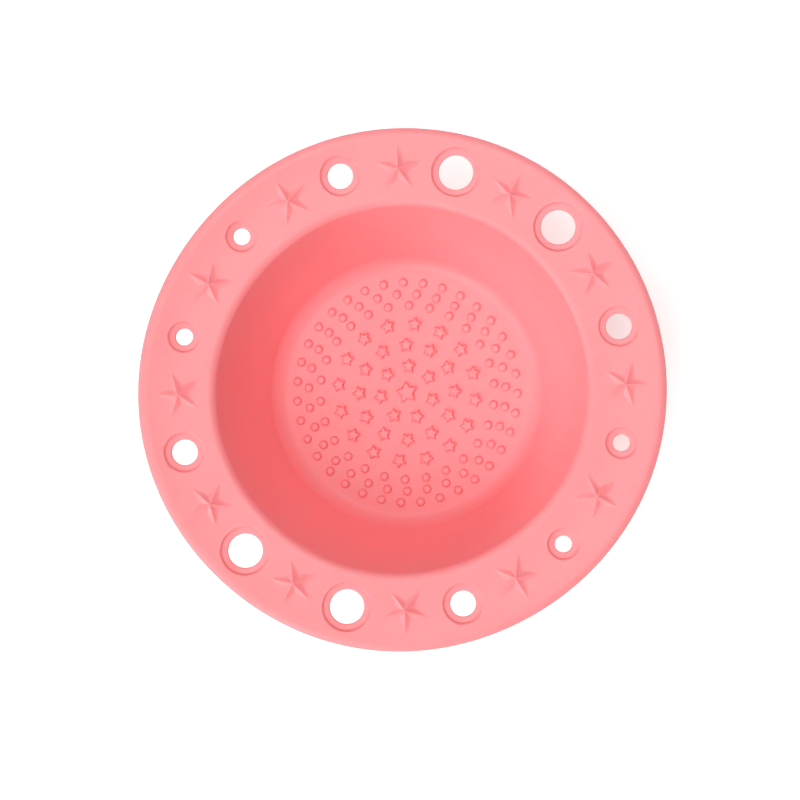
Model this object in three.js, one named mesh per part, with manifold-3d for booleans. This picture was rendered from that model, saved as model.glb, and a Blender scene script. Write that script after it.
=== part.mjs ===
// A bowl for washing make-up brushes, compression-moulded in one piece from silicone rubber.
// Brushes are rubbed clean on the raised stars and nubs of its floor, and then hang to dry in the
// holes of its broad brim, each gripped by a thin elastic web.
// The moulding is divided into its working features, which meet face to face and share one material.
// The frame is in millimetres, +Z up, with its origin under the middle of the foot, and +X runs
// through the first star of the brim.
import * as THREE from "three";
import { mergeVertices } from "three/addons/utils/BufferGeometryUtils.js";
import Module from "manifold-3d";

const wasm = await Module();
wasm.setup();

// Overall sizes
const OUTER_DIAMETER = 150;
const HEIGHT = 42; // from the table to the top of the brim
const BRIM_WIDTH = 21.8; // from the corner of the mouth to the outer edge

// Wall sections
const BRIM_THICKNESS = 3;
const WALL_THICKNESS = 2.5;
const FLOOR_THICKNESS = 3;

// Roundings
const MOUTH_ROUNDING = 2.5; // brim top into the inside of the wall
const FLOOR_ROUNDING = 5.5; // inside of the wall into the floor
const HEEL_ROUNDING = 6; // outside of the wall into the underside
const UNDER_BRIM_ROUNDING = 3;
const EDGE_TOP_ROUNDING = 2.4; // outer edge of the brim
const EDGE_UNDER_ROUNDING = 0.5;
const LEAST_LAND = 0.5; // flat that a rounding leaves beside the recesses or the nubs

// Foot
const FOOT_INSET = 1; // from the edge of the flat floor
const FOOT_WIDTH = 3.5;
const FOOT_HEIGHT = 1.5;

// Drying holes, in the order in which they follow each other round the brim, starting half a step
// past the first brim star
const SMALL_HOLE = 4.8;
const MEDIUM_HOLE = 7.3;
const LARGE_HOLE = 9.8;
const HALF_TURN_OF_HOLES = [MEDIUM_HOLE, LARGE_HOLE, LARGE_HOLE, MEDIUM_HOLE, SMALL_HOLE, SMALL_HOLE];
const HOLE_DIAMETERS = [...HALF_TURN_OF_HOLES, ...HALF_TURN_OF_HOLES];
const WEB_WIDTH = 1.65; // from the edge of a hole to the thick brim round it
const WEB_THICKNESS = 1.2;
const RECESS_DEPTH = 0.8; // from the top of the brim down to a web

// Stars: the point of an arm is at the star's radius, and the waist between two arms at a share of it
const STAR_ARMS = 5;
const BRIM_STAR = { radius: 7.5, waist: 0.38, height: 1.3 };
const CENTRE_STAR = { radius: 3.6, topRadius: 3, waist: 0.52, height: 1.9 };
const SCRUB_STAR = { radius: 2.3, topRadius: 1.65, waist: 0.52, height: 1.9 };
const CENTRE_STAR_TURN = 26;

// Nubs
const NUB = { radius: 1.35, topRadius: 0.9, height: 1.9 };

// Rings of the scrubbing pattern, from the middle outwards. turn is where the first one stands.
const STAR_RINGS = [
  { radius: 8, count: 7, turn: 34 },
  { radius: 14.4, count: 12, turn: 0 },
  { radius: 20.8, count: 16, turn: 15 },
];
const NUB_RINGS = [
  { radius: 26.4, count: 26, turn: 4.6 },
  { radius: 29.9, count: 31, turn: 2 },
  { radius: 33.4, count: 35, turn: -1.7 },
];
const FLOOR_BORDER = 5.1; // from the outermost nubs to the corner of floor and wall

// Facets
const BOWL_FACETS = 72;
const HOLE_FACETS = 20;
const NUB_FACETS = 6;
const ARC_STEP = THREE.MathUtils.degToRad(22.5);
const ROOT_DEPTH = 0.5; // how far stars and nubs reach into the floor that they are moulded on

// Heights and radii that follow from the sizes
const brimTop = HEIGHT;
const brimUnder = HEIGHT - BRIM_THICKNESS;
const webUnder = brimTop - RECESS_DEPTH - WEB_THICKNESS;
const floorUnder = FOOT_HEIGHT;
const floorTop = floorUnder + FLOOR_THICKNESS;
const mouthRadius = OUTER_DIAMETER / 2 - BRIM_WIDTH;
const holeCircleRadius = OUTER_DIAMETER / 2 - BRIM_WIDTH / 2;
const recessRadius = (holeDiameter) => holeDiameter / 2 + WEB_WIDTH;
const cornerRadius = NUB_RINGS.at(-1).radius + NUB.radius + FLOOR_BORDER;
const recessesBegin = holeCircleRadius - recessRadius(Math.max(...HOLE_DIAMETERS));
const scrubSeamRadius = (STAR_RINGS.at(-1).radius + NUB_RINGS[0].radius) / 2;

// The wall leans outwards by this angle, so each rounding at its ends turns through the rest of 90 degrees.
const lean = Math.atan2(mouthRadius - cornerRadius, brimTop - floorTop);
const roundingReach = (rounding) => rounding * Math.tan((Math.PI / 2 - lean) / 2);
const wallOutside = (height) =>
  mouthRadius - (brimTop - height) * Math.tan(lean) + WALL_THICKNESS / Math.cos(lean);

// A rounding is no larger than the flat beside it has room for.
const limitedRounding = (rounding, room) => Math.min(rounding, room / roundingReach(1));
const floorRounding = limitedRounding(FLOOR_ROUNDING, FLOOR_BORDER - LEAST_LAND);
const floorSeamRadius = cornerRadius - roundingReach(floorRounding);
const heelRounding = limitedRounding(HEEL_ROUNDING, wallOutside(floorUnder) - floorSeamRadius);
const underBrimRounding = limitedRounding(
  UNDER_BRIM_ROUNDING,
  recessesBegin - LEAST_LAND - wallOutside(brimUnder),
);
const brimSeamRadius = Math.max(
  mouthRadius + roundingReach(MOUTH_ROUNDING),
  wallOutside(brimUnder) + roundingReach(underBrimRounding),
);

const silicone = () => new THREE.MeshStandardMaterial({ color: 0xfe9ea2, roughness: 0.55, metalness: 0 });

// The closed outline through corners given as [radius, height, rounding].
function roundedOutline(corners) {
  return corners.flatMap(([x, y, rounding], i) => {
    const corner = new THREE.Vector2(x, y);
    if (!rounding) return [corner];
    const [before, after] = [corners.at(i - 1), corners[(i + 1) % corners.length]].map(([nx, ny]) =>
      new THREE.Vector2(nx, ny).sub(corner).normalize(),
    );
    const halfAngle = Math.acos(before.dot(after)) / 2;
    const inwards = before.clone().add(after).normalize();
    const centre = corner.clone().addScaledVector(inwards, rounding / Math.sin(halfAngle));
    const start = corner.clone().addScaledVector(before, rounding / Math.tan(halfAngle)).sub(centre);
    const turn = (Math.PI - 2 * halfAngle) * Math.sign(after.cross(before));
    const steps = Math.ceil(Math.abs(turn) / ARC_STEP);
    return Array.from({ length: steps + 1 }, (_, k) =>
      start.clone().rotateAround(new THREE.Vector2(), (turn * k) / steps).add(centre),
    );
  });
}

// A ring turned about +Z from the closed outline of its section.
function turned(outline, facets) {
  return new THREE.LatheGeometry([...outline, outline[0]], facets).rotateX(Math.PI / 2);
}

// A ring of rectangular section.
function flatRing(innerRadius, outerRadius, low, high, facets) {
  const section = [
    [innerRadius, low],
    [outerRadius, low],
    [outerRadius, high],
    [innerRadius, high],
  ];
  return turned(section.map(([x, y]) => new THREE.Vector2(x, y)), facets);
}

// A round or tapered post that stands on z = 0.
function post(radius, topRadius, height, facets) {
  return new THREE.CylinderGeometry(topRadius, radius, height, facets)
    .translate(0, height / 2, 0)
    .rotateX(Math.PI / 2)
    .rotateZ(Math.PI / 2);
}

// A five-armed star that stands on z = 0 with one arm along +X: a post with ten corners, of which
// every second one is drawn in to the waist. With no topRadius its facets meet in a point.
function star({ radius, topRadius = 0, waist, height }) {
  const geometry = post(radius, topRadius, height, 2 * STAR_ARMS);
  const position = geometry.getAttribute("position");
  for (let i = 0; i < position.count; i++) {
    const corner = Math.round(Math.atan2(position.getY(i), position.getX(i)) / (Math.PI / STAR_ARMS));
    if (corner % 2) position.setXY(i, position.getX(i) * waist, position.getY(i) * waist);
  }
  return geometry;
}

// Stands a mesh on a circle round the bowl's axis, with its +X side outwards.
function onCircle(mesh, radius, degrees, height) {
  const angle = THREE.MathUtils.degToRad(degrees);
  mesh.position.set(radius * Math.cos(angle), radius * Math.sin(angle), height);
  mesh.rotation.z = angle;
  return mesh;
}

function solidOf(mesh) {
  mesh.updateMatrix();
  const placed = new THREE.BufferGeometry()
    .setAttribute("position", mesh.geometry.getAttribute("position").clone())
    .setIndex(mesh.geometry.getIndex())
    .applyMatrix4(mesh.matrix);
  const merged = mergeVertices(placed, 1e-3);
  return new wasm.Manifold(
    new wasm.Mesh({
      numProp: 3,
      vertProperties: merged.getAttribute("position").array,
      triVerts: new Uint32Array(merged.getIndex().array),
    }),
  );
}

function geometryOf(solid) {
  const { vertProperties, triVerts } = solid.getMesh();
  return new THREE.BufferGeometry()
    .setAttribute("position", new THREE.BufferAttribute(vertProperties, 3))
    .setIndex(new THREE.BufferAttribute(triVerts, 1));
}

const numbered = (name, i) => `${name}_${String(i + 1).padStart(2, "0")}`;

function named(name, geometry) {
  const mesh = new THREE.Mesh(geometry, silicone());
  mesh.name = name;
  return mesh;
}

const bowl = new THREE.Group();

// Wall: a leaning ring, rounded into the brim at its mouth and into the floor at its foot.
function bowlWall() {
  const section = roundedOutline([
    [brimSeamRadius, brimUnder],
    [brimSeamRadius, brimTop],
    [mouthRadius, brimTop, MOUTH_ROUNDING],
    [cornerRadius, floorTop, floorRounding],
    [floorSeamRadius, floorTop],
    [floorSeamRadius, floorUnder],
    [wallOutside(floorUnder), floorUnder, heelRounding],
    [wallOutside(brimUnder), brimUnder, underBrimRounding],
  ]);
  return named("bowl_wall", turned(section, BOWL_FACETS));
}
bowl.add(bowlWall());

// Brim: a flat ring with a rounded edge, bored where the webs close its holes.
function holePlace(i) {
  return (360 / HOLE_DIAMETERS.length) * (i + 0.5);
}

function dryingBrim() {
  const section = roundedOutline([
    [brimSeamRadius, brimUnder],
    [OUTER_DIAMETER / 2, brimUnder, EDGE_UNDER_ROUNDING],
    [OUTER_DIAMETER / 2, brimTop, EDGE_TOP_ROUNDING],
    [brimSeamRadius, brimTop],
  ]);
  const bores = HOLE_DIAMETERS.map((diameter, i) => {
    const radius = recessRadius(diameter);
    const bore = new THREE.Mesh(post(radius, radius, 3 * BRIM_THICKNESS, HOLE_FACETS));
    return solidOf(onCircle(bore, holeCircleRadius, holePlace(i), brimUnder - BRIM_THICKNESS));
  });
  const ring = solidOf(new THREE.Mesh(turned(section, BOWL_FACETS)));
  return named("drying_brim", geometryOf(bores.reduce((solid, bore) => solid.subtract(bore), ring)));
}
bowl.add(dryingBrim());

// Webs: the thin rings, sunk between the faces of the brim, that stretch round the brush handles.
HOLE_DIAMETERS.forEach((diameter, i) => {
  const web = flatRing(diameter / 2, recessRadius(diameter), 0, WEB_THICKNESS, HOLE_FACETS);
  const mesh = named(numbered("grip_web", i), web.rotateZ(Math.PI / 2));
  bowl.add(onCircle(mesh, holeCircleRadius, holePlace(i), webUnder));
});

// Brim stars: low faceted stars on the top of the brim, one between each two holes. An arm reaches
// further out than the two opposite it reach in, so the middle of a star is a little inside the brim's.
const starReachIn = BRIM_STAR.radius * Math.cos(Math.PI / STAR_ARMS);
const starCircleRadius = holeCircleRadius - (BRIM_STAR.radius - starReachIn) / 2;
HOLE_DIAMETERS.forEach((_, i) => {
  const mesh = named(numbered("brim_star", i), star(BRIM_STAR));
  bowl.add(onCircle(mesh, starCircleRadius, holePlace(i - 0.5), brimTop));
});

// Scrubbing floor: a disc of stars for the broad brushes, and round it a ring of nubs for fine ones.
function rooted(shape) {
  return { ...shape, height: shape.height + ROOT_DEPTH };
}

function onRings(rings, geometry) {
  return rings.flatMap(({ radius, count, turn }) =>
    Array.from({ length: count }, (_, i) =>
      solidOf(onCircle(new THREE.Mesh(geometry), radius, turn + (360 / count) * i, floorTop - ROOT_DEPTH)),
    ),
  );
}

function starFloor() {
  const disc = new THREE.Mesh(post(scrubSeamRadius, scrubSeamRadius, FLOOR_THICKNESS, BOWL_FACETS));
  disc.position.z = floorUnder;
  const centre = new THREE.Mesh(star(rooted(CENTRE_STAR)));
  const stars = onRings(STAR_RINGS, star(rooted(SCRUB_STAR)));
  stars.push(solidOf(onCircle(centre, 0, CENTRE_STAR_TURN, floorTop - ROOT_DEPTH)));
  return named("star_floor", geometryOf(wasm.Manifold.union([solidOf(disc), ...stars])));
}
bowl.add(starFloor());

function nubFloor() {
  const ring = flatRing(scrubSeamRadius, floorSeamRadius, floorUnder, floorTop, BOWL_FACETS);
  const nub = post(NUB.radius, NUB.topRadius, NUB.height + ROOT_DEPTH, NUB_FACETS);
  const solids = [solidOf(new THREE.Mesh(ring)), ...onRings(NUB_RINGS, nub)];
  return named("nub_floor", geometryOf(wasm.Manifold.union(solids)));
}
bowl.add(nubFloor());

// Foot: the narrow ring that the bowl stands on.
function footRing() {
  const outerRadius = floorSeamRadius - FOOT_INSET;
  const ring = flatRing(outerRadius - FOOT_WIDTH, outerRadius, 0, floorUnder, BOWL_FACETS);
  return named("foot_ring", ring);
}
bowl.add(footRing());

export default bowl;
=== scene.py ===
import math

import bpy
from mathutils import Matrix, Vector


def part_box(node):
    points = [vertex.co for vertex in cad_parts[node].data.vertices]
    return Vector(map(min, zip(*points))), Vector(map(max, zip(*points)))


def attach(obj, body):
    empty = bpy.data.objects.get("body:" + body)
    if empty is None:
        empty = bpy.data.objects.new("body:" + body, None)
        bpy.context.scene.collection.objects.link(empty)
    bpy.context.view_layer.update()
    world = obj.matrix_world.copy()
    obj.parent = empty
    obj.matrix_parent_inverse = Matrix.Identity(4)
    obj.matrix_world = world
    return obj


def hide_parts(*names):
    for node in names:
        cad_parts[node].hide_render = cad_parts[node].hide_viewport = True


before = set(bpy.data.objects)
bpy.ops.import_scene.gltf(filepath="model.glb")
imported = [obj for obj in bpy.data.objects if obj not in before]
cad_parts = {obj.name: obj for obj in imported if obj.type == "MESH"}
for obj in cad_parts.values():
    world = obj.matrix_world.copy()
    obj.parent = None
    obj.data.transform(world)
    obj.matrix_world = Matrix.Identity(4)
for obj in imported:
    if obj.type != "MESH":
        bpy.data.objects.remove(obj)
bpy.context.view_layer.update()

# ---------------------------------------------------------------------------------------------
# Camera. It hangs almost straight above the bowl, a little to the right of its axis and towards
# its near side, and is turned slightly, so that the bowl looks turned the other way.
# ---------------------------------------------------------------------------------------------
MM = 0.001
CAMERA_HEIGHT = 600 * MM  # above the brim
CAMERA_ASIDE = Vector((27.4, -15.8, 0)) * MM
AIM_ASIDE = Vector((-0.44, -3.03, 0)) * MM  # from the middle of the mouth to what the camera aims at
CAMERA_TURN = math.radians(1.1)
SENSOR_WIDTH = 36.0  # in mm, as Blender takes it
VIEW_WIDTH = 228.15 * MM  # that the sensor sees at the height of the brim

brim_low, brim_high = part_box("drying_brim")
brim_under, brim_top = brim_low.z, brim_high.z
mouth_centre = Vector((0, 0, brim_top))

bpy.ops.object.camera_add()
camera = bpy.context.object
camera.name = "camera"
camera.data.sensor_width = SENSOR_WIDTH
camera.data.lens = SENSOR_WIDTH * CAMERA_HEIGHT / VIEW_WIDTH
camera_place = mouth_centre + CAMERA_ASIDE + Vector((0, 0, CAMERA_HEIGHT))
ahead = (mouth_centre + AIM_ASIDE - camera_place).normalized()
right = ahead.cross(Vector((math.sin(CAMERA_TURN), math.cos(CAMERA_TURN), 0))).normalized()
turned_frame = Matrix((right, right.cross(ahead), -ahead)).transposed().to_4x4()
camera.matrix_world = Matrix.Translation(camera_place) @ turned_frame
bpy.context.scene.camera = camera

# ---------------------------------------------------------------------------------------------
# Bowl. One compression moulding of silicone rubber: foot, floor, leaning wall and broad brim are
# one skin of 2.5 to 3 mm. Its corners are well rounded, so that the soft part peels out of its
# mould, and the wall bows outwards a little.
# ---------------------------------------------------------------------------------------------
WALL = 2.5 * MM
MOUTH_CORNER = 53.2 * MM  # radius where the lines of brim and wall meet
FLOOR_CORNER = 39.85 * MM
MOUTH_ROUNDING = 2.5 * MM
FLOOR_ROUNDING = 5.5 * MM
WALL_BOW = 1.2 * MM  # how far the wall bends outwards halfway up
WALL_ROUNDING = 110 * MM
HEEL_ROUNDING = 6.0 * MM
UNDER_BRIM_ROUNDING = 3.0 * MM
EDGE_TOP_ROUNDING = 0.9 * MM
EDGE_SLOPE_WIDTH = 2.0 * MM  # the top of the brim slopes down to its edge
EDGE_SLOPE_DEPTH = 1.25 * MM
EDGE_SLOPE_ROUNDING = 3.5 * MM
EDGE_SLOPE_REACH = 0.33  # how far that rounding reaches into the flat, as a share of itself
EDGE_UNDER_ROUNDING = 0.4 * MM
FOOT_ROUNDING = 0.5 * MM
BRIM_LOOPS = 8  # across the flat of the brim, so that it can be curved later
BOWL_BARS = 240
FACE_ACROSS = 0.45 * MM  # about how wide the faces of a rounding are
SAME_PLACE = 0.001 * MM  # nearer than this, two points count as one
FOOT_WIDTH = 3.5 * MM
FLOOR_THICKNESS = 3.0 * MM

foot_low, foot_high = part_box("foot_ring")
foot_outside, foot_under, floor_under = foot_high.x, foot_low.z, foot_high.z
floor_top = floor_under + FLOOR_THICKNESS
brim_edge = brim_high.x
wall_middle = (brim_top + floor_top) / 2
wall_lean = math.atan2(MOUTH_CORNER - FLOOR_CORNER, brim_top - floor_top)


def wall_outside(height):
    """Radius of the outside of the wall at a height, but for its bow."""
    return MOUTH_CORNER - (brim_top - height) * math.tan(wall_lean) + WALL / math.cos(wall_lean)


def deselect():
    bpy.ops.object.select_all(action="DESELECT")


def select_loop(mesh, radius, height):
    """Selects, in edit mode, the round edges at a radius and height of a turned shape."""
    bpy.ops.object.mode_set(mode="OBJECT")
    near = {
        v.index
        for v in mesh.vertices
        if abs(v.co.xy.length - radius) < SAME_PLACE and abs(v.co.z - height) < SAME_PLACE
    }
    for e in mesh.edges:
        e.select = e.vertices[0] in near and e.vertices[1] in near
    for v in mesh.vertices:
        v.select = v.index in near
    for p in mesh.polygons:
        p.select = False
    bpy.ops.object.mode_set(mode="EDIT")


def turned(name, outline, bars):
    """A round solid about Z, from the corners of its outline: (radius, height, rounding). A disc
    is extruded from each corner to the next, and each corner with a rounding is bevelled."""
    deselect()
    radius, height, _ = outline[0]
    bpy.ops.mesh.primitive_circle_add(
        vertices=bars, radius=radius, fill_type="NGON", location=(0, 0, height)
    )
    solid = bpy.context.object
    solid.name = solid.data.name = name
    bpy.ops.object.transform_apply(location=True)
    bpy.ops.object.mode_set(mode="EDIT")
    for next_radius, next_height, _ in outline[1:]:
        grow = next_radius / radius
        bpy.ops.mesh.extrude_region_move(
            TRANSFORM_OT_translate={"value": (0, 0, next_height - height)}
        )
        bpy.ops.transform.resize(value=(grow, grow, 1), center_override=(0, 0, 0))
        radius, height = next_radius, next_height
    bpy.ops.mesh.select_all(action="SELECT")
    bpy.ops.mesh.normals_make_consistent(inside=False)
    bpy.ops.mesh.select_mode(type="EDGE")
    for i, (radius, height, rounding) in enumerate(outline):
        if not rounding:
            continue
        before, after = (
            Vector((outline[j][0] - radius, outline[j][1] - height)).normalized()
            for j in (i - 1, i + 1)
        )
        turn = math.pi - before.angle(after)
        select_loop(solid.data, radius, height)
        bpy.ops.mesh.bevel(
            offset=rounding * math.tan(turn / 2),
            segments=max(3, math.ceil(turn * rounding / FACE_ACROSS)),
            profile=0.5,
            affect="EDGES",
        )
    bpy.ops.object.mode_set(mode="OBJECT")
    bpy.ops.object.shade_smooth()
    return solid


def brim_flat(inner, outer, height):
    """Corners across the flat of the brim, from one radius to another."""
    step = (outer - inner) / BRIM_LOOPS
    return [(inner + step * i, height, 0) for i in range(BRIM_LOOPS + 1)]


slope_begins = brim_edge - EDGE_SLOPE_WIDTH
under_flat = (wall_outside(brim_under) + UNDER_BRIM_ROUNDING, brim_edge - EDGE_UNDER_ROUNDING * 2)
top_flat = (slope_begins - EDGE_SLOPE_ROUNDING * EDGE_SLOPE_REACH, MOUTH_CORNER + MOUTH_ROUNDING)
bowl = turned(
    "moulded_bowl",
    [
        (foot_outside - FOOT_WIDTH, floor_under, 0),
        (foot_outside - FOOT_WIDTH, foot_under, FOOT_ROUNDING),
        (foot_outside, foot_under, FOOT_ROUNDING),
        (foot_outside, floor_under, FOOT_ROUNDING),
        (wall_outside(floor_under), floor_under, HEEL_ROUNDING),
        (wall_outside(wall_middle) + WALL_BOW, wall_middle, WALL_ROUNDING),
        (wall_outside(brim_under), brim_under, UNDER_BRIM_ROUNDING),
        *brim_flat(*under_flat, brim_under),
        (brim_edge, brim_under, EDGE_UNDER_ROUNDING),
        (brim_edge, brim_top - EDGE_SLOPE_DEPTH, EDGE_TOP_ROUNDING),
        (slope_begins, brim_top, EDGE_SLOPE_ROUNDING),
        *brim_flat(*top_flat, brim_top),
        (MOUTH_CORNER, brim_top, MOUTH_ROUNDING),
        ((MOUTH_CORNER + FLOOR_CORNER) / 2 + WALL_BOW, wall_middle, WALL_ROUNDING),
        (FLOOR_CORNER, floor_top, FLOOR_ROUNDING),
        (FLOOR_CORNER - FLOOR_ROUNDING, floor_top, 0),
    ],
    BOWL_BARS,
)

# ---------------------------------------------------------------------------------------------
# Drying holes. The mould's pins leave twelve holes of three sizes in the brim. Each lies in a
# shallow recess on either side, so that only a thin web with a soft lip is left round it. The web
# stretches round the handle of a brush and holds it.
# ---------------------------------------------------------------------------------------------
HOLES = 12
SMALL_HOLE, MEDIUM_HOLE, LARGE_HOLE = 2.4 * MM, 3.65 * MM, 4.9 * MM  # radii
HALF_TURN_OF_HOLES = (MEDIUM_HOLE, LARGE_HOLE, LARGE_HOLE, MEDIUM_HOLE, SMALL_HOLE, SMALL_HOLE)
WEB_WIDTH = 1.65 * MM
RECESS_DEPTH = 0.8 * MM  # above the web
UNDER_RECESS_DEPTH = 1.0 * MM
RECESS_DRAFT = 0.55 * MM  # how much wider a recess is at the face of the brim than at the web
LIP_ROUNDING = 0.4 * MM
RECESS_FLOOR_ROUNDING = 0.3 * MM
RECESS_EDGE_ROUNDING = 0.4 * MM
HOLE_BARS = 60
CLEAR = 1.0 * MM  # how far a cutting shape reaches past what it cuts
SHALLOW = math.tan(math.radians(14))  # slope at which roundings run out into a flat face


def cut(solid, tool, operation):
    """Joins a tool to a solid, or cuts it away, and deletes the tool."""
    deselect()
    bpy.context.view_layer.objects.active = solid
    solid.select_set(True)
    boolean = solid.modifiers.new("cut", "BOOLEAN")
    boolean.operation = operation
    boolean.solver = "EXACT"
    boolean.object = tool
    bpy.ops.object.modifier_apply(modifier=boolean.name)
    bpy.data.objects.remove(tool)


def joined(pieces):
    """Several objects as one, in the mesh of the first."""
    deselect()
    for piece in pieces:
        piece.select_set(True)
    bpy.context.view_layer.objects.active = pieces[0]
    bpy.ops.object.join()
    return pieces[0]


def copies(piece, places):
    """Copies of a piece, each with its own mesh, at a list of matrices. The first is the piece."""
    made = [piece]
    for _ in places[1:]:
        deselect()
        piece.select_set(True)
        bpy.context.view_layer.objects.active = piece
        bpy.ops.object.duplicate()
        made.append(bpy.context.object)
    for copy, place in zip(made, places):
        copy.data.transform(place)
    return made


def on_circle(radius, degrees, height):
    """A place on a circle round the bowl's axis, with +X outwards."""
    turn = Matrix.Rotation(math.radians(degrees), 4, "Z")
    return turn @ Matrix.Translation((radius, 0, height))


def hole_tool(radius):
    """What one hole, with the recesses above and below its web, takes out of the brim."""
    recess = radius + WEB_WIDTH
    recess_mouth = recess + RECESS_DRAFT
    web_under = brim_under + UNDER_RECESS_DEPTH
    web_top = brim_top - RECESS_DEPTH
    return turned(
        "hole_tool",
        [
            (recess_mouth + CLEAR, brim_under - CLEAR * SHALLOW, 0),
            (recess_mouth, brim_under, RECESS_EDGE_ROUNDING),
            (recess, web_under, RECESS_FLOOR_ROUNDING),
            (radius, web_under, LIP_ROUNDING),
            (radius, web_top, LIP_ROUNDING),
            (recess, web_top, RECESS_FLOOR_ROUNDING),
            (recess_mouth, brim_top, RECESS_EDGE_ROUNDING),
            (recess_mouth + CLEAR, brim_top + CLEAR * SHALLOW, 0),
        ],
        HOLE_BARS,
    )


web_low, web_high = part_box("grip_web_01")
hole_circle = ((web_low + web_high) / 2).xy.length
hole_tools = []
for size in (SMALL_HOLE, MEDIUM_HOLE, LARGE_HOLE):
    places = [
        on_circle(hole_circle, 360 / HOLES * (i + 0.5), 0)
        for i in range(HOLES)
        if HALF_TURN_OF_HOLES[i % len(HALF_TURN_OF_HOLES)] == size
    ]
    hole_tools += copies(hole_tool(size), places)
cut(bowl, joined(hole_tools), "DIFFERENCE")

# ---------------------------------------------------------------------------------------------
# Brim stars. Between the holes stand low five-armed stars, an ornament cut into the mould. They
# are ridged like a starfish, with an arm pointing outwards, and their sides sweep out into the
# brim, because all is one moulding.
# ---------------------------------------------------------------------------------------------
STAR_ARMS = 5
STAR_BARS = 40
ALMOST_FLAT = 0.02  # shares of size and height at which a star's foot and point are cut short
BRIM_STAR = 8.5 * MM  # radius to the tips, where the ridges have run out into the brim
BRIM_STAR_HEIGHT = 1.6 * MM
BRIM_STAR_ROOT = 0.4 * MM
BRIM_STAR_WAIST = 0.36  # radius between two arms, as a share of the arm's
BRIM_STAR_TIP = 0.96  # radius of a rounded tip, as a share of a sharp one's
SWEEP = 1.6  # 1 gives flat facets, more makes them hollow
STAR_LOOPS = 7


def five_armed(mesh, waist, tip):
    """Draws the sides of a turned shape in, straight from each arm to the waist beside it."""
    arm_pitch = 2 * math.pi / STAR_ARMS
    waist_corner = Vector((math.cos(arm_pitch / 2), math.sin(arm_pitch / 2))) * waist
    slope = waist_corner.y / (1 - waist_corner.x)
    for v in mesh.vertices:
        from_arm = abs((math.atan2(v.co.y, v.co.x) + arm_pitch / 2) % arm_pitch - arm_pitch / 2)
        side = slope / (math.sin(from_arm) + slope * math.cos(from_arm))
        v.co.xy *= min(side, tip)


def brim_star():
    """One star at the origin, on a root that sinks into the brim."""
    loops = [(BRIM_STAR, -BRIM_STAR_ROOT, 0), (BRIM_STAR, -ALMOST_FLAT * MM, 0)]
    for i in range(1, STAR_LOOPS):
        inward = i / STAR_LOOPS
        loops.append((BRIM_STAR * (1 - inward), BRIM_STAR_HEIGHT * inward**SWEEP, 0))
    loops.append((BRIM_STAR * ALMOST_FLAT, BRIM_STAR_HEIGHT * (1 - ALMOST_FLAT) ** SWEEP, 0))
    star = turned("brim_star", loops, STAR_BARS)
    five_armed(star.data, BRIM_STAR_WAIST, BRIM_STAR_TIP)
    return star


star_reach_in = math.cos(math.pi / STAR_ARMS)
star_low, star_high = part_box("brim_star_01")
star_circle = star_high.x - (star_high.x - star_low.x) / (1 + star_reach_in)
star_places = [on_circle(star_circle, 360 / HOLES * i, brim_top) for i in range(HOLES)]
cut(bowl, joined(copies(brim_star(), star_places)), "UNION")

# ---------------------------------------------------------------------------------------------
# Scrubbing stars. One large and 35 small five-armed stars stand 1.5 mm high on the middle of the
# floor and scrub the belly of a brush. They are moulded with it, with draft on their sides, soft
# tops and blunt tips.
# ---------------------------------------------------------------------------------------------
SCRUB_STAR = (2.6 * MM, 1.8 * MM, 1.55 * MM)  # radius to a tip at foot and top, and height
CENTRE_STAR = (3.9 * MM, 3.0 * MM, 1.55 * MM)
SCRUB_WAIST, SCRUB_TIP = 0.52, 0.93  # as for the brim stars, but stouter and blunter
SCRUB_ROOT = 0.6 * MM
SCRUB_TOP_ROUNDING = 0.3 * MM
SCRUB_FOOT_ROUNDING = 0.3 * MM
SCRUB_FLAT = 1.5  # how far in from its corner a flat top begins, in roundings
STAR_RINGS = ((8.0, 7, 34), (14.4, 12, 0), (20.8, 16, 15))  # radius in mm, count, turn in degrees
CENTRE_STAR_TURN = 26


def stud(name, foot, top, height, bars):
    """A drafted post on the floor, whose foot flares out a little into it."""
    flare = 2 * SCRUB_FOOT_ROUNDING
    return turned(
        name,
        [
            (foot + flare, -SCRUB_ROOT, 0),
            (foot + flare, -flare * SHALLOW, 0),
            (foot, 0, SCRUB_FOOT_ROUNDING),
            (top, height, SCRUB_TOP_ROUNDING),
            (top - SCRUB_TOP_ROUNDING * SCRUB_FLAT, height, 0),
        ],
        bars,
    )


def scrub_star(foot, top, height):
    """A post on the floor, drawn in to five blunt arms."""
    star = stud("scrub_star", foot, top, height, STAR_BARS)
    five_armed(star.data, SCRUB_WAIST, SCRUB_TIP)
    return star


def on_rings(rings):
    """Places on the floor, evenly round rings of a radius, a count and a turn."""
    return [
        on_circle(radius * MM, turn + 360 / count * i, floor_top)
        for radius, count, turn in rings
        for i in range(count)
    ]


scrubbers = copies(scrub_star(*CENTRE_STAR), [on_circle(0, CENTRE_STAR_TURN, floor_top)])
scrubbers += copies(scrub_star(*SCRUB_STAR), on_rings(STAR_RINGS))

# ---------------------------------------------------------------------------------------------
# Scrubbing nubs. Round the stars stand three rings of plain round nubs, 92 in all. They are
# moulded with the floor too, a little lower than the stars, and scrub the tips of the hairs.
# ---------------------------------------------------------------------------------------------
NUB = (1.38 * MM, 0.92 * MM, 1.2 * MM)  # radius at foot and top, and height
NUB_RINGS = ((26.4, 26, 4.6), (29.9, 31, 2), (33.4, 35, -1.7))  # as for the stars
NUB_BARS = 12

scrubbers += copies(stud("scrub_nub", *NUB, NUB_BARS), on_rings(NUB_RINGS))
cut(bowl, joined(scrubbers), "UNION")

# ---------------------------------------------------------------------------------------------
# Set of the rubber. The moulding comes out of the press soft. Its broad brim cools with a slight
# curl, so that it rises towards its edge, and the bowl is never quite round.
# ---------------------------------------------------------------------------------------------
CURL_STARTS = 58.5 * MM
CURL_RISE = 2.5 * MM
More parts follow.
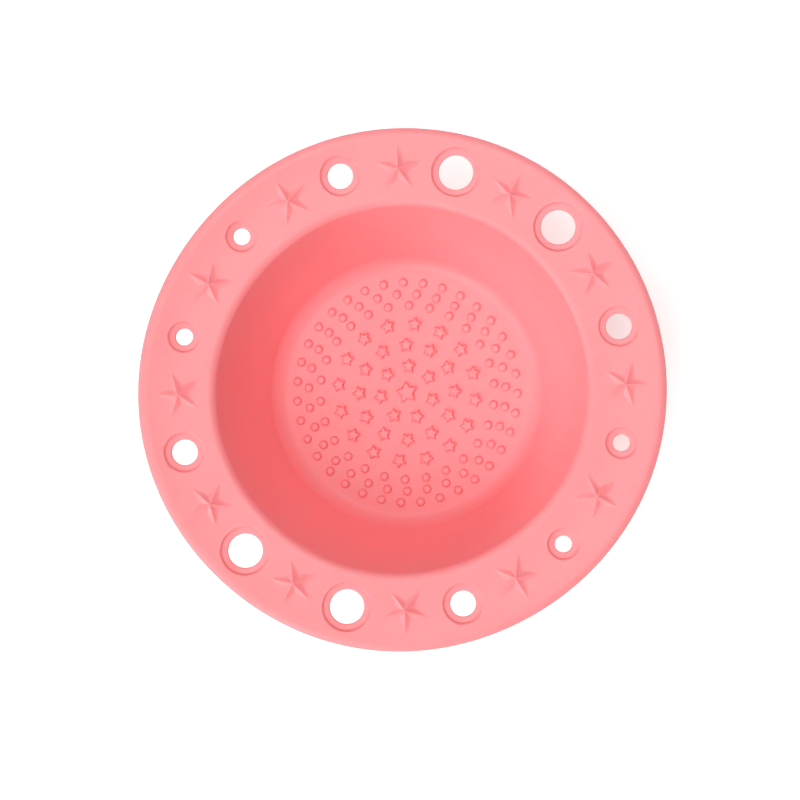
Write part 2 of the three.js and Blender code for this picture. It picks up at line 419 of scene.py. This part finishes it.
# Waves round the mouth and rim: how many, how far out or in (mm), towards which side (degrees).
OUT_OF_ROUND = ((2, 0.53, 19.2), (3, 0.10, 81), (4, 0.11, -4.3), (5, 0.09, 44.7))
SHARPEST_SMOOTH = math.radians(32)  # a sharper edge than this stays an edge

for v in bowl.data.vertices:
    out = (v.co.xy.length - CURL_STARTS) / (brim_edge - CURL_STARTS)
    if out > 0:
        v.co.z += CURL_RISE * out**2
    share = min(max((v.co.z - floor_top) / (brim_top - floor_top), 0), 1)
    side = math.atan2(v.co.y, v.co.x)
    outward = sum(far * math.cos(n * (side - math.radians(at))) for n, far, at in OUT_OF_ROUND)
    # The rim bends but doesn't stretch, so it also slides round a little.
    along = -sum(far / n * math.sin(n * (side - math.radians(at))) for n, far, at in OUT_OF_ROUND)
    v.co.xy += Matrix.Rotation(side, 2) @ Vector((outward, along)) * share * MM

deselect()
bowl.select_set(True)
bpy.context.view_layer.objects.active = bowl
bpy.ops.object.shade_smooth_by_angle(angle=SHARPEST_SMOOTH)
flats = bowl.modifiers.new("flats", "WEIGHTED_NORMAL")
flats.keep_sharp = True
bpy.ops.object.modifier_apply(modifier=flats.name)

# ---------------------------------------------------------------------------------------------
# Moulded silicone rubber, pigmented coral pink right through, as it came from a blasted steel
# mould. The eye sees a soft satin sheen with no sharp gloss, a red glow where light travels inside
# it, faint clouds in the pigment, a fine grain, and duller patches where it has been handled.
# ---------------------------------------------------------------------------------------------
RUBBER_DEEP, RUBBER_PALE = "#FF969B", "#FF9CA1"
BLEND = 22 * MM  # size of the clouds that milling the pigment in leaves
RUBBER_IOR = 1.41
RUBBER_ROUGHNESS = (0.36, 0.44)
HANDLING = 9 * MM  # size of the patches that wiping and fingers leave
GRAIN = 0.35 * MM  # of the blasted mould, drawn coarser than the real 0.1 mm so that it shows
GRAIN_DEPTH = 0.012 * MM
RUBBER_SOFTNESS = 0.8  # share of the light that goes into the rubber before it comes back
RUBBER_GLOW = (0.8, 0.22, 0.17)  # how far red, green and blue light travel inside it
RUBBER_DEPTH = 3.0 * MM


def colour(text):
    """An sRGB hex value as linear red, green, blue and alpha."""
    parts = [int(text[i : i + 2], 16) / 255 for i in (1, 3, 5)]
    return [c / 12.92 if c <= 0.04045 else ((c + 0.055) / 1.055) ** 2.4 for c in parts] + [1]


def add_node(tree, kind, inputs=None, **settings):
    """A new node with its own settings, and with inputs that are values or other nodes' outputs."""
    node = tree.nodes.new(kind)
    for name, value in settings.items():
        setattr(node, name, value)
    for name, value in (inputs or {}).items():
        if isinstance(value, bpy.types.NodeSocket):
            tree.links.new(value, node.inputs[name])
        else:
            node.inputs[name].default_value = value
    return node


rubber = bpy.data.materials.new("moulded_silicone_rubber")
rubber.use_nodes = True
tree = rubber.node_tree
tree.nodes.clear()
place = add_node(tree, "ShaderNodeTexCoord").outputs["Object"]
blend = add_node(tree, "ShaderNodeTexNoise", {"Vector": place, "Scale": 1 / BLEND, "Detail": 3.0})
pigment = add_node(
    tree,
    "ShaderNodeMixRGB",
    {"Fac": blend.outputs["Fac"], "Color1": colour(RUBBER_DEEP), "Color2": colour(RUBBER_PALE)},
)
wiping = add_node(tree, "ShaderNodeTexNoise", {"Vector": place, "Scale": 1 / HANDLING, "Detail": 4.0})
satin, dull = RUBBER_ROUGHNESS
sheen = add_node(
    tree, "ShaderNodeMapRange", {"Value": wiping.outputs["Fac"], "To Min": satin, "To Max": dull}
)
grain = add_node(tree, "ShaderNodeTexNoise", {"Vector": place, "Scale": 1 / GRAIN, "Detail": 3.0})
relief = add_node(
    tree, "ShaderNodeBump", {"Height": grain.outputs["Fac"], "Distance": GRAIN_DEPTH, "Strength": 1.0}
)
shader = add_node(
    tree,
    "ShaderNodeBsdfPrincipled",
    {
        "Base Color": pigment.outputs["Color"],
        "Roughness": sheen.outputs["Result"],
        "IOR": RUBBER_IOR,
        "Subsurface Weight": RUBBER_SOFTNESS,
        "Subsurface Radius": RUBBER_GLOW,
        "Subsurface Scale": RUBBER_DEPTH,
        "Normal": relief.outputs["Normal"],
    },
)
add_node(tree, "ShaderNodeOutputMaterial", {"Surface": shader.outputs["BSDF"]})
bowl.data.materials.clear()
bowl.data.materials.append(rubber)
bowl.name = bowl.data.name = "silicone_bowl"
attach(bowl, "root")
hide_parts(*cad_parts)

# ---------------------------------------------------------------------------------------------
# Table. A sheet of white paper under the bowl, which runs on into the white of the studio. It
# keeps the bowl's shadow, and looks whiter than the light alone would make it.
# ---------------------------------------------------------------------------------------------
TABLE = 2.0  # metres along a side
PAPER = "#F8F8F8"
WHITE = "#FFFFFF"
PAPER_LIFT = 0.47  # added where the paper is looked at or mirrored, and nowhere else


def looked_at(tree):
    """1 for rays from the camera, a mirror or clear material, and 0 for rays that light things."""
    rays = add_node(tree, "ShaderNodeLightPath").outputs
    mirrored = add_node(
        tree,
        "ShaderNodeMath",
        {0: rays["Is Glossy Ray"], 1: rays["Is Transmission Ray"]},
        operation="MAXIMUM",
    )
    looked = add_node(
        tree,
        "ShaderNodeMath",
        {0: rays["Is Camera Ray"], 1: mirrored.outputs[0]},
        operation="MAXIMUM",
    )
    return looked.outputs[0]


deselect()
bpy.ops.mesh.primitive_plane_add(size=TABLE)
table = bpy.context.object
table.name = "table"
paper = bpy.data.materials.new("white_paper")
paper.use_nodes = True
tree = paper.node_tree
tree.nodes.clear()
looked = looked_at(tree)
lit = add_node(tree, "ShaderNodeBsdfDiffuse", {"Color": colour(PAPER)}).outputs["BSDF"]
glow = add_node(tree, "ShaderNodeEmission", {"Color": colour(WHITE), "Strength": PAPER_LIFT})
lifted = add_node(tree, "ShaderNodeAddShader", {0: lit, 1: glow.outputs["Emission"]})
sheet = add_node(tree, "ShaderNodeMixShader", {"Fac": looked, 1: lit, 2: lifted.outputs["Shader"]})
add_node(tree, "ShaderNodeOutputMaterial", {"Surface": sheet.outputs["Shader"]})
table.data.materials.append(paper)

# ---------------------------------------------------------------------------------------------
# Light. A white room gives a soft, slightly warm light from all round. A large softbox stands at
# the near left, a weaker one low at the left, and a third hangs overhead towards the far side.
# ---------------------------------------------------------------------------------------------
ROOM_LEVEL = 0.31
ROOM_WARMTH = "#FFECE6"

world = bpy.data.worlds.new("studio")
bpy.context.scene.world = world
world.use_nodes = True
tree = world.node_tree
tree.nodes.clear()
looked = looked_at(tree)
level = add_node(tree, "ShaderNodeMapRange", {"Value": looked, "To Min": ROOM_LEVEL, "To Max": 1.0})
tint = add_node(
    tree,
    "ShaderNodeMixRGB",
    {"Fac": looked, "Color1": colour(ROOM_WARMTH), "Color2": colour(WHITE)},
)
room = add_node(
    tree, "ShaderNodeBackground", {"Color": tint.outputs["Color"], "Strength": level.outputs["Result"]}
)
add_node(tree, "ShaderNodeOutputWorld", {"Surface": room.outputs["Background"]})


def softbox(name, turn, rise, away, size, level):
    """A square lamp that faces the bowl, turned round it and raised above it in degrees, with its
    distance and size in metres. Its level is how bright it alone shows white paper."""
    turn, rise = math.radians(turn), math.radians(rise)
    ground = Vector((math.cos(turn), math.sin(turn), 0))
    direction = ground * math.cos(rise) + Vector((0, 0, math.sin(rise)))
    bpy.ops.object.light_add(type="AREA")
    lamp = bpy.context.object
    lamp.name = name
    lamp.data.shape = "SQUARE"
    lamp.data.size = size
    lamp.data.energy = level * (math.pi * away) ** 2 / math.sin(rise)
    place = Matrix.Translation(mouth_centre + direction * away)
    lamp.matrix_world = place @ direction.to_track_quat("Z", "Y").to_matrix().to_4x4()


softbox("key_softbox", turn=240, rise=50, away=2.8, size=1.4, level=0.36)
softbox("side_softbox", turn=204, rise=24, away=2.8, size=1.0, level=0.13)
softbox("top_softbox", turn=100, rise=76, away=0.85, size=0.48, level=0.41)

bpy.context.scene.view_settings.view_transform = "Standard"
